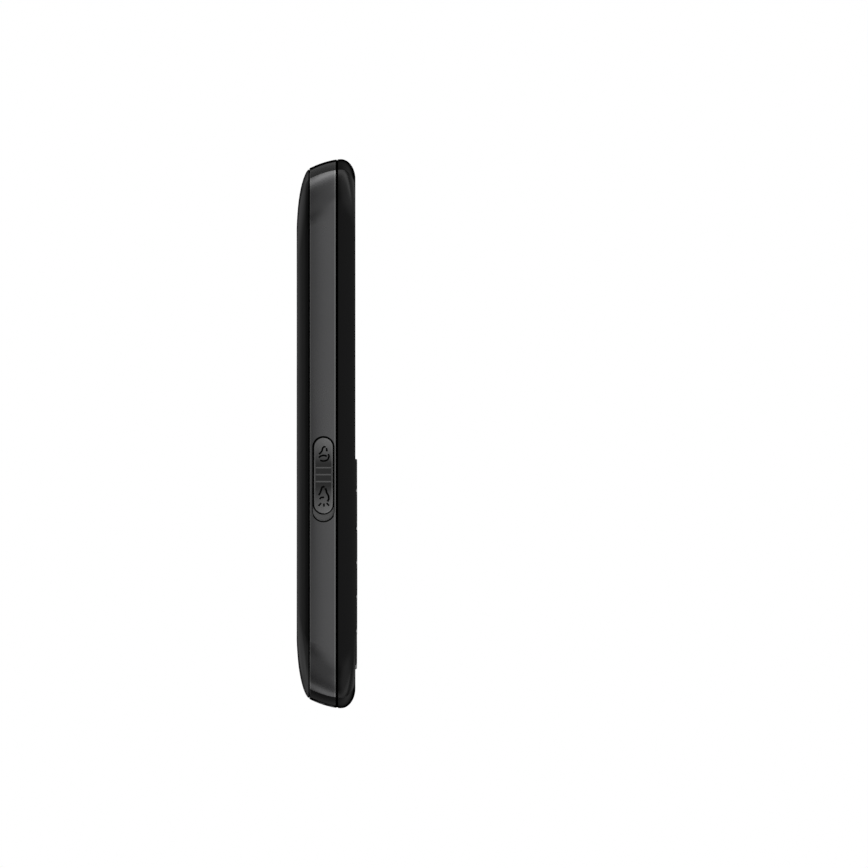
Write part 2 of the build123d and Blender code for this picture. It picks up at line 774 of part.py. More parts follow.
parts["torch_slider"] = make_torch_slider()
lever_x = flange_inner_x + touch_gap
parts["torch_switch_lever"] = block(lever_x, lever_x + lever_reach, slider_y - lever_width / 2,
                                    slider_y + lever_width / 2, lever_z - lever_height / 2,
                                    lever_z + lever_height / 2)
switch_x = lever_x + switch_lever_lap
switch_low = lever_z - switch_foot
switch_slot_half = lever_width / 2 + switch_slot_gap
switch = block(switch_x, switch_x + switch_size[0], board_back_y, slider_y + switch_back_margin,
               switch_low, switch_low + switch_size[1])
switch -= block(switch_x - past, switch_x + switch_slot_depth, slider_y - switch_slot_half,
                slider_y + switch_slot_half, lever_z - lever_height / 2 - slider_travel - switch_slot_gap,
                lever_z + lever_height / 2 + switch_slot_gap)
parts["torch_switch"] = switch


# Main board with its shields, sockets and lamp
def make_main_board():
    """Circuit board along the whole case, notched round the eyelet and drilled for the screws."""
    board = prism(cavity_inset + board_gap, cavity_drop + board_gap, board_front_y, board_back_y)
    for x, z in screw_places:
        board -= disc(x, z, screw_radius + 2 * screw_gap, board_front_y - past, board_back_y + past)
    return board


parts["main_board"] = make_main_board()
shield_top_y = chassis_front_y - shield_deck_gap
bay_half = half_width - battery_side_margin + battery_gap
battery_top = body_length - battery_top_margin
card_x = (card_size[0] + card_middle_gap) / 2
card_z = battery_foot + card_margin + card_size[1] / 2
memory_z = card_z + card_size[1] / 2 + card_row_gap + memory_size[1] / 2
shield_foot = memory_z + memory_size[1] / 2 + shield_strip
lens_foot = body_length - frame_drop + lens_gap
lamp_foot = lens_foot - lamp_base[1] - lamp_dome[1] - lamp_lens_gap


def make_shield(x, z, width, height):
    """Pressed shield can with rounded corners and a row of vent holes."""
    can = rounded(x, z, width, height, shield_corner, board_back_y, shield_top_y)
    for step in range(-2, 3):
        can -= disc(x + step * vent_pitch, z, vent_radius, shield_top_y - vent_depth, shield_top_y + past)
    return can


shield_top = lamp_foot - shield_lamp_gap
shield_z = (shield_foot + shield_top) / 2
parts["processor_shield"] = make_shield(0, shield_z, 2 * (half_width - shield_side_margin),
                                        shield_top - shield_foot)
parts["radio_shield"] = make_shield(-card_x, memory_z, *radio_shield_size)


def make_card_holder(x, z, width, height, contacts):
    """Card holder: a pressed tray with side rails over the card and spring contacts on its floor."""
    top_y = board_back_y + holder_height
    floor_y = board_back_y + holder_floor
    foot = z - height / 2
    tray = rounded(x, z, width, height, holder_corner, board_back_y, top_y)
    inner = width / 2 - holder_rail
    tray -= block(x - inner, x + inner, floor_y, top_y - holder_floor, foot + holder_end[0], z + height)
    inner = width / 2 - holder_lip
    tray -= block(x - inner, x + inner, floor_y, top_y + past, foot + holder_end[1], z + height)
    for column in (-1, 0, 1):
        for step in range(contacts):
            x0 = x + column * spring_pitch[0] - spring_size[0] / 2
            z0 = foot + spring_start + step * spring_pitch[1]
            tray += block(x0, x0 + spring_size[0], board_back_y, floor_y + spring_rise,
                          z0, z0 + spring_size[1])
    return tray


parts["sim_holder_1"] = make_card_holder(-card_x, card_z, *card_size, 3)
parts["sim_holder_2"] = make_card_holder(card_x, card_z, *card_size, 3)
parts["memory_card_slot"] = make_card_holder(card_x, memory_z, *memory_size, 2)

usb_width, usb_height = usb_size
usb_y = board_back_y + usb_height / 2
usb_end_z = usb_mouth_z + usb_length
usb = post(Pos(usb_x, usb_y) * RectangleRounded(usb_width, usb_height, usb_corner), usb_mouth_z, usb_end_z)
usb -= post(Pos(usb_x, usb_y) * RectangleRounded(usb_width - 2 * usb_wall, usb_height - 2 * usb_wall,
                                                 usb_corner - usb_wall / 2),
            usb_mouth_z - past, usb_end_z - usb_end_wall)
tongue_width, tongue_height = usb_tongue
usb += block(usb_x - tongue_width / 2, usb_x + tongue_width / 2, usb_y - tongue_height / 2,
             usb_y + tongue_height / 2, usb_mouth_z + usb_tongue_sink, usb_end_z - usb_end_wall + weld)
parts["usb_socket"] = usb

jack_body_z = frame_drop + end_arch + jack_body_margin
jack_end_z = jack_mouth_z + jack_bore_length + jack_end_wall
jack = block(jack_x - jack_body_width / 2, jack_x + jack_body_width / 2, board_back_y + touch_gap,
             board_back_y + touch_gap + jack_body_depth, jack_body_z, jack_end_z)
jack += post(Pos(jack_x, jack_y) * Circle(jack_nose_radius), jack_mouth_z, jack_body_z + weld)
jack_bore_end_z = jack_mouth_z + jack_bore_length
jack -= post(Pos(jack_x, jack_y) * Circle(jack_bore_radius), jack_mouth_z, jack_bore_end_z)
parts["audio_jack"] = jack

parts["microphone"] = disc(half_width - mic_side_margin, mic_z, mic_radius, board_back_y,
                           board_back_y + mic_thickness)

lamp_top = lamp_foot + lamp_base[1]
lamp = block(-lamp_base[0] / 2, lamp_base[0] / 2, board_back_y, lamp_y + lamp_rise, lamp_foot, lamp_top)
lamp += post(Pos(0, lamp_y) * Circle(lamp_dome[0]), lamp_top - weld, lamp_top + lamp_dome[1])
parts["torch_led"] = lamp
lens = post(Pos(0, lamp_y) * Circle(lens_radius), lens_foot, body_length) & frame_skin()
parts["torch_lens"] = lens - Pos(0, lamp_y, lens_foot + lens_floor) * Cone(*lens_hollow)


# Rear chassis: deck, battery bay and pockets
tab_wall = cover_inset - frame_inset - lip_clearance
screw_seat_y = frame_back_y - screw_head[1] - screw_sink
bay_foot = battery_foot - battery_gap
bay_top = battery_top + battery_gap
contacts_high = bay_foot - contact_block_gap
contacts_low = contacts_high - contact_block[2]
contacts_half = contact_block[0] / 2


def make_rear_chassis():
    """Moulded carrier under the back cover, with the battery bay and the speaker pocket."""
    body = prism(tongue_inset, tongue_drop, chassis_front_y, chassis_step_y)
    body += prism(cover_inset + hand_gap, cover_drop + hand_gap, chassis_step_y - weld, frame_back_y)
    low, high = plateau_ends
    body += rounded(0, (low + high) / 2, body_width - 2 * plateau_side, high - low, plateau_corner,
                    frame_back_y - weld, plateau_y)
    open_y = plateau_y + past
    under_y = chassis_front_y - past
    body -= block(-bay_half, bay_half, bay_floor_y, open_y, bay_foot, bay_top)
    body -= disc(0, bay_top, thumb_radius, bay_floor_y + thumb_lift, open_y)
    cards = ((-card_x, card_z, card_size), (card_x, card_z, card_size), (card_x, memory_z, memory_size))
    for x, z, (wide, high) in cards:
        across = wide / 2 + pocket_gap
        along = high / 2 + pocket_gap
        body -= block(x - across, x + across, under_y, bay_floor_y + past, z - along, z + along)
    pocket_half = contacts_half + pocket_gap
    body -= block(-pocket_half, pocket_half, bay_floor_y, open_y, contacts_low - pocket_gap,
                  bay_foot + past)
    body -= rounded(*speaker_centre, speaker_size[0] + 2 * pocket_gap, speaker_size[1] + 2 * pocket_gap,
                    speaker_corner + pocket_gap, speaker_y[0] - seat_gap, open_y)
    body -= disc(*motor_centre, motor_radius + pocket_gap, motor_y[0] - seat_gap, open_y)
    torch_back_y = slider_y + slot_width / 2 + slider_flange_lap + hand_gap
    body -= block(-half_width, switch_x + switch_size[0] + hand_gap, under_y, torch_back_y, *torch_pocket)
    body -= block(boss_low_x - hand_gap, half_width, under_y, frame_back_y + past, boss_low_z - hand_gap,
                  body_length)
    usb_half = usb_width / 2 + socket_room
    body -= block(usb_x - usb_half, usb_x + usb_half, under_y, board_back_y + usb_height + hand_gap, 0,
                  usb_end_z + hand_gap)
    jack_half = jack_body_width / 2 + pocket_gap
    body -= block(jack_x - jack_half, jack_x + jack_half, under_y,
                  board_back_y + touch_gap + jack_body_depth + pocket_gap, 0, jack_end_z + hand_gap)
    lamp_half = lens_radius + hand_gap
    body -= block(-lamp_half, lamp_half, under_y, lamp_y + lamp_half, lamp_foot - hand_gap, body_length)
    for x, z in screw_places:
        body -= disc(x, z, screw_radius + 1.5 * screw_gap, under_y, frame_back_y + past)
        body -= disc(x, z, screw_head[0] + screw_gap, screw_seat_y, frame_back_y + past)
    for side in (-1, 1):
        x0, x1 = sorted((side * (half_width - frame_inset - tab_wall - lip_clearance - hand_gap),
                         side * half_width))
        for z in tab_heights:
            reach = tab_half + hand_gap
            body -= block(x0, x1, tab_front_y - hand_gap, chassis_step_y + past, z - reach, z + reach)
    return body


# Back cover: rolled shell with a lip into the frame, locating tabs and speaker slots
def make_back_cover():
    """Black cover that rolls from the seam to the flat back."""
    count = 7
    cover = loft([cover_face(k / (count - 1), 0.0, 0.0) for k in range(count)])
    cover += seam_ledge(frame_back_y, cover_edge_drop, frame_back_y, cover_front_y + touch_gap)
    lip_front_y = cover_front_y - lip_depth
    cover += prism(frame_inset + lip_clearance, frame_drop + lip_clearance, lip_front_y,
                   cover_front_y + touch_gap)
    cover -= prism(cover_inset, cover_drop, lip_front_y - past, cover_front_y)
    cover -= loft([cover_face(k / (count - 1), cover_wall, cover_rim) for k in range(count)])
    sx, sz = speaker_centre
    for step in range(-2, 3):
        slot = Pos(sx, sz + step * speaker_slot_pitch) * SlotOverall(*speaker_slot)
        cover -= slab(slot, back_depth - cover_wall - past, back_depth + past)
    for side in (-1, 1):
        outer = side * (half_width - frame_inset - lip_clearance)
        x0, x1 = sorted((outer, outer - side * tab_wall))
        for z in tab_heights:
            cover += block(x0, x1, tab_front_y, cover_front_y, z - tab_half, z + tab_half)
    return cover


parts["rear_chassis"] = make_rear_chassis()
parts["back_cover"] = make_back_cover()


# Pieces in and on the chassis
def make_battery():
    """Flat battery pack with bevelled long edges and three contact pads at its foot."""
    half = half_width - battery_side_margin
    y0 = bay_floor_y + battery_gap
    pack = block(-half, half, y0, y0 + battery_thickness, battery_foot, battery_top)
    pack = fillet(pack.edges().filter_by(Axis.Z), battery_corner)
    wide, deep, sink = pad_size
    for step in (-1, 0, 1):
        x = step * contact_pitch
        pack -= block(x - wide / 2, x + wide / 2, y0 + pad_lift, y0 + pad_lift + deep, battery_foot,
                      battery_foot + sink)
    return pack


def make_battery_contacts():
    """Contact block with three bowed blades that press on the battery's pads."""
    base = block(-contacts_half, contacts_half, bay_floor_y, bay_floor_y + contact_block[1], contacts_low,
                 contacts_high)
    wide, deep = blade_size
    blade_y = bay_floor_y + pad_lift + hand_gap
    for step in (-1, 0, 1):
        x = step * contact_pitch
        base += block(x - wide / 2, x + wide / 2, blade_y, blade_y + deep, contacts_high - weld, bay_foot)
    return base


def make_loudspeaker():
    """Oblong loudspeaker: frame, magnet and a shallow cone recess at its back."""
    x, z = speaker_centre
    wide, high = speaker_size
    front_y, cone_y, back_y = speaker_y
    inner_corner = speaker_corner - speaker_rim / 2
    unit = rounded(x, z, wide, high, speaker_corner, front_y, back_y)
    unit -= rounded(x, z, wide - 2 * speaker_rim, high - 2 * speaker_rim, inner_corner, cone_y,
                    back_y + past)
    unit += rounded(x, z, wide - cone_size_margins[0], high - cone_size_margins[1], inner_corner,
                    cone_y - weld, back_y - cone_sink)
    return unit


def make_loudspeaker_mesh():
    """Fine grille plate over the loudspeaker."""
    x, z = speaker_centre
    plate = rounded(x, z, speaker_size[0] - 2 * grille_margin, speaker_size[1] - 2 * grille_margin,
                    speaker_corner - grille_margin, *grille_y)
    wide, high = grille_hole
    for column in range(-4, 5):
        for row in range(-2, 3):
            x0 = x + column * grille_pitch[0] - wide / 2
            z0 = z + row * grille_pitch[1] - high / 2
            plate -= block(x0, x0 + wide, grille_y[0] - past, grille_y[1] + past, z0, z0 + high)
    return plate


def make_antenna():
    """Stamped antenna on the deck at the foot, with meander slots."""
    plate = rounded(0, antenna_z, 2 * (half_width - antenna_side_margin), antenna_height, shield_corner,
                    frame_back_y, frame_back_y + antenna_thickness)
    wide, high = antenna_slot
    for step in range(-3, 4):
        x0 = step * antenna_pitch - wide / 2
        z0 = antenna_z + (antenna_shift if step % 2 else -antenna_shift) - high / 2
        plate -= block(x0, x0 + wide, frame_back_y - past, frame_back_y + past, z0, z0 + high)
    return plate


def make_screws():
    """Four screws from the deck into the front housing's bosses, with a cross recess."""
    radius, height = screw_head
    cross_long, cross_wide, cross_floor = screw_cross
    cross_y = screw_seat_y + cross_floor
    screws = []
    for x, z in screw_places:
        screw = disc(x, z, radius, screw_seat_y, screw_seat_y + height)
        for wide, high in ((cross_long, cross_wide), (cross_wide, cross_long)):
            screw -= block(x - wide / 2, x + wide / 2, cross_y, cross_y + past, z - high / 2, z + high / 2)
        screw += disc(x, z, screw_radius, screw_seat_y - screw_length, screw_seat_y)
        screws.append(screw)
    return Compound(children=screws)


parts["battery"] = make_battery()
parts["battery_contacts"] = make_battery_contacts()
parts["loudspeaker"] = make_loudspeaker()
parts["loudspeaker_mesh"] = make_loudspeaker_mesh()
parts["vibration_motor"] = disc(*motor_centre, motor_radius, *motor_y)
parts["antenna"] = make_antenna()
parts["housing_screws"] = make_screws()

os.makedirs("parts", exist_ok=True)
for name, solid in parts.items():
    export_step(solid, f"parts/{name}.step")
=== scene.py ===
import json
import math

import bmesh
import bpy
from mathutils import Matrix, Vector
from mathutils.bvhtree import BVHTree


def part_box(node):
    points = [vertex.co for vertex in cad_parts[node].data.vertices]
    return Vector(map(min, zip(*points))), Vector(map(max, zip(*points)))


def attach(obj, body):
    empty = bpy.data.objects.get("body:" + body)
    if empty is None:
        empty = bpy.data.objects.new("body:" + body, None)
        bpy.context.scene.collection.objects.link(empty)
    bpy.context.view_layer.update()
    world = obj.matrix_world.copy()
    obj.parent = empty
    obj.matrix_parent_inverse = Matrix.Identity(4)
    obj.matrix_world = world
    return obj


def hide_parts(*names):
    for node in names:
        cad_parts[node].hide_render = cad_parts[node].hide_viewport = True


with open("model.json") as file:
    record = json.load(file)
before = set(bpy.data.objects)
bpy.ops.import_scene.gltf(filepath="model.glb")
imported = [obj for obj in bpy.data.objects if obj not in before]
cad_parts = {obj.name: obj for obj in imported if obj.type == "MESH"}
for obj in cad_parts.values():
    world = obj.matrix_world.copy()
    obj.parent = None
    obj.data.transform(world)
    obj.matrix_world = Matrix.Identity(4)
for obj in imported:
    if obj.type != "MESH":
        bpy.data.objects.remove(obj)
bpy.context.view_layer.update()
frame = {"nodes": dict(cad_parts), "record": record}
nodes = frame["nodes"]
MM = 0.001

# The photograph's left picture: 868 pixels square, this many millimetres a pixel, and the pixel column
# and row where Y is 0 and Z is 0
FRAME_PIXELS = 868
MM_PER_PIXEL = 0.21854
Y_ZERO_COLUMN = 327.03
Z_ZERO_ROW = 708.25
CAMERA_DISTANCE = 0.6

scene = bpy.context.scene
scene.view_settings.view_transform = "Standard"


def link(obj):
    scene.collection.objects.link(obj)
    return obj


# Camera: a straight side elevation, looking along +X
camera_data = bpy.data.cameras.new("photo_camera")
camera_data.type = "ORTHO"
camera_data.ortho_scale = FRAME_PIXELS * MM_PER_PIXEL * MM
camera_data.clip_start = 0.01
camera_data.clip_end = 5.0
camera = link(bpy.data.objects.new("photo_camera", camera_data))
middle_y = -(FRAME_PIXELS / 2 - Y_ZERO_COLUMN) * MM_PER_PIXEL * MM
middle_z = (Z_ZERO_ROW - FRAME_PIXELS / 2) * MM_PER_PIXEL * MM
camera.location = (-CAMERA_DISTANCE, middle_y, middle_z)
camera.rotation_euler = (math.pi / 2, 0, -math.pi / 2)
scene.camera = camera


# Studio: soft lobes of light all round, and white behind the object for the camera alone
LOBES = (
    # direction the light comes from, where it is full and where it ends in degrees, brightness, and how
    # many times narrower it is in height
    ((-0.88, -0.47, 0.0), 22, 52, 0.3, 1),
    ((0.57, 0.82, 0.0), 25, 65, 0.145, 4),
    ((0.7, -0.7, 0.0), 15, 40, 0.15, 1),
    ((0.97, -0.22, -0.05), 8, 30, 0.34, 1),
    ((-0.2, -0.6, 0.77), 10, 45, 0.4, 1),
    ((-0.2, -0.6, -0.77), 10, 45, 0.42, 1),
    ((0.0, -1.0, 0.2), 8, 38, 0.3, 1),
    ((0.66, 0.65, -0.38), 5, 23, 0.27, 1),
    ((0.1, 0.95, -0.28), 6, 22, 0.22, 1),
    ((-0.42, 0.8, -0.38), 8, 28, 0.25, 1),
)
# Long soft boxes along Y, seen by the phone's ends; angles in degrees from the camera's side, up or down
STRIPS = (
    # angle, half-width where it is full and where it ends, brightness
    (50, 12, 34, 0.16),
    (90, 6, 22, 0.16),
    (102, 4, 16, 0.22),
    (114, 5, 13, 0.9),
    (160, 8, 20, 0.05),
    (-50, 12, 34, 0.12),
    (-90, 6, 22, 0.06),
    (-114, 5, 13, 0.45),
)
# where the soft boxes fade out towards the screen's side and the cover's side, as Y of the direction
STRIP_FADES = ((-0.97, -0.8), (0.65, 0.35))
AMBIENT = 0.01


def grey(value):
    return (value, value, value, 1)


WHITE = grey(1)


class Graph:
    """Shorthand for adding nodes and links to one node tree."""

    def __init__(self, tree):
        self.tree = tree
        tree.nodes.clear()

    def add(self, kind, inputs=None, **settings):
        node = self.tree.nodes.new(kind)
        for key, value in settings.items():
            setattr(node, key, value)
        for key, value in (inputs or {}).items():
            if isinstance(value, bpy.types.NodeSocket):
                self.tree.links.new(value, node.inputs[key])
            else:
                node.inputs[key].default_value = value
        return node

    def math(self, operation, a, b=0.0):
        return self.add("ShaderNodeMath", {0: a, 1: b}, operation=operation).outputs[0]

    def axes(self, vector):
        return self.add("ShaderNodeSeparateXYZ", {0: vector}).outputs

    def mix(self, mask, below, above):
        """Colour that goes from one to the other as the mask goes from 0 to 1."""
        return self.add("ShaderNodeMix", {0: mask, 6: below, 7: above}, data_type="RGBA").outputs[2]

    def ramp(self, value, start, end, low=0.0, high=1.0, kind="LINEAR"):
        """Slope from low, where the value is at its start, to high, where it is at its end."""
        inputs = {"Value": value, "From Min": start, "From Max": end, "To Min": low, "To Max": high}
        return self.add("ShaderNodeMapRange", inputs, interpolation_type=kind).outputs["Result"]

    def lobe(self, direction, place, full, end, brightness):
        """Brightness round a place, full within one angle of it and none beyond another, in degrees."""
        towards = self.add("ShaderNodeVectorMath", {0: direction, 1: place}, operation="DOT_PRODUCT")
        dim, bright = (math.cos(math.radians(angle)) for angle in (end, full))
        return self.ramp(towards.outputs["Value"], dim, bright, 0.0, brightness, "SMOOTHSTEP")

    def scaled(self, direction, factors):
        """The direction stretched by a factor along each axis, with length 1 again."""
        scaled = self.add("ShaderNodeVectorMath", {0: direction, 1: factors}, operation="MULTIPLY")
        return self.add("ShaderNodeVectorMath", {0: scaled.outputs[0]}, operation="NORMALIZE").outputs[0]

    def distance_from(self, value, middle):
        return self.math("ABSOLUTE", self.math("SUBTRACT", value, middle))

    def between(self, value, low, high):
        """1 where a value lies between two bounds given in millimetres."""
        above = self.math("GREATER_THAN", value, low * MM)
        return self.math("MULTIPLY", above, self.math("LESS_THAN", value, high * MM))


def make_world():
    world = bpy.data.worlds.new("studio")
    world.use_nodes = True
    scene.world = world
    graph = Graph(world.node_tree)
    direction = graph.add("ShaderNodeTexCoord").outputs["Generated"]
    total = AMBIENT
    for place, full, end, brightness, squeeze in LOBES:
        seen = graph.scaled(direction, (1, 1, squeeze)) if squeeze != 1 else direction
        lobe = graph.lobe(seen, Vector(place).normalized(), full, end, brightness)
        total = graph.math("ADD", total, lobe)
    flat = graph.scaled(direction, (1, 0, 1))
    sideways = graph.axes(direction)["Y"]
    within = 1.0
    for ends, starts in STRIP_FADES:
        within = graph.math("MULTIPLY", graph.ramp(sideways, ends, starts), within)
    for angle, full, end, brightness in STRIPS:
        lean = math.radians(angle)
        strip = graph.lobe(flat, (-math.cos(lean), 0, math.sin(lean)), full, end, brightness)
        total = graph.math("ADD", total, graph.math("MULTIPLY", strip, within))
    light = graph.add("ShaderNodeBackground", {"Color": WHITE, "Strength": total})
    white = graph.add("ShaderNodeBackground", {"Color": WHITE, "Strength": 1.0})
    ray = graph.add("ShaderNodeLightPath").outputs["Is Camera Ray"]
    mixed = graph.add("ShaderNodeMixShader", {0: ray, 1: light.outputs[0], 2: white.outputs[0]})
    graph.add("ShaderNodeOutputWorld", {"Surface": mixed.outputs[0]})


make_world()


# half the floor's length, how grey its blotches are, and how much it glows by itself
FLOOR_HALF = 0.6
FLOOR_TONES = (0.80, 0.84)
FLOOR_GLOW = 0.7


def make_floor():
    corners = [(x * FLOOR_HALF, y * FLOOR_HALF, 0) for x, y in ((-1, -1), (1, -1), (1, 1), (-1, 1))]
    mesh = bpy.data.meshes.new("floor")
    mesh.from_pydata(corners, [], [(0, 1, 2, 3)])
    floor = link(bpy.data.objects.new("floor", mesh))
    floor.visible_glossy = False
    floor.visible_diffuse = False
    floor.visible_shadow = False
    material = bpy.data.materials.new("floor_paint")
    material.use_nodes = True
    graph = Graph(material.node_tree)
    coord = graph.add("ShaderNodeTexCoord").outputs["Object"]
    mottle = graph.add("ShaderNodeTexNoise", {"Vector": coord, "Scale": 30.0, "Detail": 4.0})
    tone = graph.ramp(mottle.outputs[0], 0.0, 1.0, *FLOOR_TONES)
    shader = graph.add("ShaderNodeBsdfPrincipled",
                       {"Base Color": tone, "Roughness": 0.8, "Emission Color": WHITE,
                        "Emission Strength": FLOOR_GLOW})
    graph.add("ShaderNodeOutputMaterial", {"Surface": shader.outputs[0]})
    mesh.materials.append(material)


make_floor()


# Materials; measures in millimetres, seen from the side
# painted shade over the grooves between the shells, and painted highlight lines beside them, as (from Y, to
# Y)
SEAMS = ((-2.44, -1.86), (3.76, 4.06))
PAINTED_HIGHLIGHT_BANDS = ((-1.86, -1.62), (3.54, 3.76))

# the torch switch's slot and its button: middle Y, foot Z, top Z, half-width
SLOT = (0.79, 40.9, 59.35, 2.325)
BUTTON = (0.79, 42.475, 59.225, 2.175)
# the painted shade line round the slot, standing in for the shadow of its gap, and how far above the slot's
# foot that line is twice as wide
SLOT_LINE = 0.14
SLOT_FOOT = 1.2
# the painted shade in the gap round the button, from its outline
BUTTON_GAP = (-0.07, 0.16)
# the button's painted sheen, brighter towards its ends: where it begins and is full, from the button's
# middle, and how grey it is there
PAINTED_SHEEN_REACH = (2.0, 8.4)
PAINTED_SHEEN_GREYS = (0.12, 0.48)
PAINTED_SHEEN_SHARE = 0.85
# the button's hollow, darkened with painted shade: half-width, and half-lengths where its tint ends and
# where it is full
HOLLOW_WIDTH = 1.7
HOLLOW_LENGTHS = (3.6, 2.4)
PAINTED_HOLLOW_SHADE_GREY = 0.1
# the ribs in the hollow, lightened with a painted highlight: heights, half-thickness and grey
RIB_HEIGHTS = (49.52, 51.05, 52.58)
RIB_HALF = 0.17
PAINTED_RIB_HIGHLIGHT_GREY = 0.3
# the button's rim, lightened with a painted highlight, and the slide behind the button, lightened with
# painted light where it lies in shade
RIM_WIDTH = 0.38
RIM_SHARE = 0.6
PAINTED_RIM_HIGHLIGHT_GREY = 0.5
SLIDE_X = -25.45
PAINTED_SLIDE_LIGHT_GREY = 0.32

# the outer walls of the left and the right side lie beyond these X
LEFT_WALL = -20
RIGHT_WALL = 19.9
# the eyelet's lower opening and the nail notch on the right side: middle Y and Z, width, height, corner
EYELET = (0.98, 112.55, 2.84, 2.3, 0.6)
NOTCH = (4.76, 14.75, 4.0, 10.9, 1.0)
# the eyelet's bore up through the end cap: its X and the lowest Z
EYELET_BORE = (19.9, 22.09)
BORE_FOOT = 111.3
# distances from their outlines between which painted shade darkens them or a painted highlight lightens
# their edge, how much painted shade the notch's floor gets, and the grey of the painted highlight
EYELET_DARK = (-9.0, 0.03)
EYELET_EDGE = (0.03, 0.28)
NOTCH_FLOOR = (-9.0, -0.12)
NOTCH_DARK = (-0.12, 0.14)
NOTCH_EDGE = (0.14, 0.36)
NOTCH_FLOOR_SHADE = 0.7
PAINTED_EDGE_HIGHLIGHT_GREY = 0.42

# how far a face of the band looks sideways and up or down where the end cap's painted shade begins and is
# full, and how much painted shade darkens the top's and the foot's caps
CAP_SIDEWAYS = (0.36, 0.28)
CAP_UPWARDS = (0.72, 0.78)
CAP_SHADES = (0.3, 0.78)


def bands_mask(graph, coord, bands):
    """1 in some bands of Y and 0 elsewhere."""
    y = graph.axes(coord)["Y"]
    total = 0.0
    for low, high in bands:
        away = graph.distance_from(y, (low + high) / 2 * MM)
        total = graph.math("ADD", total, graph.math("LESS_THAN", away, (high - low) / 2 * MM))
    return total


def slot_distance(graph, coord, shape):
    """Distance from the middle line of a long round-ended shape on the side of the case, in metres."""
    middle_y, foot, top, half = (value * MM for value in shape)
    place = graph.axes(coord)
    nearest = graph.add("ShaderNodeClamp", {0: place["Z"], 1: foot + half, 2: top - half}).outputs[0]
    across = graph.math("SUBTRACT", place["Y"], middle_y)
    along = graph.math("SUBTRACT", place["Z"], nearest)
    squares = [graph.math("MULTIPLY", away, away) for away in (across, along)]
    return graph.math("SQRT", graph.math("ADD", *squares))


def plate_distance(graph, coord, shape):
    """Distance outside a rounded rectangle on the side of the case, in metres, and less than 0 inside."""
    middle_y, middle_z, width, height, corner = (value * MM for value in shape)
    place = graph.axes(coord)
    squares = 0.0
    for axis, middle, size in (("Y", middle_y, width), ("Z", middle_z, height)):
        away = graph.distance_from(place[axis], middle)
        away = graph.math("MAXIMUM", graph.math("SUBTRACT", away, size / 2 - corner), 0.0)
        squares = graph.math("ADD", squares, graph.math("MULTIPLY", away, away))
    return graph.math("SUBTRACT", graph.math("SQRT", squares), corner)


def slot_shade(graph, coord):
    """Painted shade: 1 on the rounded rim of the slot in the left side, standing in for the shadow of the
    gap.
    """
    place = graph.axes(coord)
    left = graph.math("LESS_THAN", place["X"], LEFT_WALL * MM)
    foot = graph.math("LESS_THAN", place["Z"], (SLOT[1] + SLOT_FOOT) * MM)
    reach = graph.math("ADD", graph.math("MULTIPLY", foot, SLOT_LINE * MM), (SLOT[3] + SLOT_LINE) * MM)
    return graph.math("MULTIPLY", left, graph.math("LESS_THAN", slot_distance(graph, coord, SLOT), reach))


def openings_shade(graph, coord):
    """Painted shade: 1 inside the eyelet and along the nail notch's edge, and some on the notch's floor."""
    place = graph.axes(coord)
    right = graph.math("GREATER_THAN", place["X"], RIGHT_WALL * MM)
    notch = plate_distance(graph, coord, NOTCH)
    eyelet = plate_distance(graph, coord, EYELET)
    reach = EYELET[2] / 2 + EYELET_DARK[1]
    bore = graph.math("MULTIPLY", graph.between(place["X"], *EYELET_BORE),
                      graph.between(place["Y"], EYELET[0] - reach, EYELET[0] + reach))
    bore = graph.math("MULTIPLY", bore, graph.math("GREATER_THAN", place["Z"], BORE_FOOT * MM))
    shade = 0.0
    for mask, share in ((graph.between(notch, *NOTCH_DARK), 1.0),
                        (graph.between(notch, *NOTCH_FLOOR), NOTCH_FLOOR_SHADE),
                        (graph.between(eyelet, *EYELET_DARK), 1.0), (bore, 1.0)):
        mask = graph.math("MULTIPLY", graph.math("MULTIPLY", mask, right), share)
        shade = graph.math("MAXIMUM", shade, mask)
    return shade


def caps_shade(graph):
    """Some shade on the flat end caps of the band."""
    facing = graph.axes(graph.add("ShaderNodeNewGeometry").outputs["Normal"])
    flat = graph.ramp(graph.math("ABSOLUTE", facing["X"]), *CAP_SIDEWAYS)
    shade = 0.0
    for sign, share in zip((1.0, -1.0), CAP_SHADES):
        up = graph.ramp(graph.math("MULTIPLY", facing["Z"], sign), *CAP_UPWARDS, 0.0, share)
        shade = graph.math("MAXIMUM", shade, graph.math("MULTIPLY", up, flat))
    return shade


def frame_shade(graph, coord):
    shade = graph.math("MAXIMUM", slot_shade(graph, coord), openings_shade(graph, coord))
    return graph.math("MAXIMUM", shade, caps_shade(graph))


def frame_painted_highlights(graph, coord, tint):
    """The satin band with painted highlights on the edges round the eyelet and the nail notch."""
    right = graph.math("GREATER_THAN", graph.axes(coord)["X"], RIGHT_WALL * MM)
    edges = graph.math("MAXIMUM", graph.between(plate_distance(graph, coord, EYELET), *EYELET_EDGE),
                       graph.between(plate_distance(graph, coord, NOTCH), *NOTCH_EDGE))
    return graph.mix(graph.math("MULTIPLY", edges, right), tint, grey(PAINTED_EDGE_HIGHLIGHT_GREY))


def button_shade(graph, coord):
    """Painted shade: 1 on the rounded rim of the button and in the gap beside it, standing in for its
    shadow.
    """
    distance = slot_distance(graph, coord, BUTTON)
    return graph.between(distance, BUTTON[3] + BUTTON_GAP[0], BUTTON[3] + BUTTON_GAP[1])


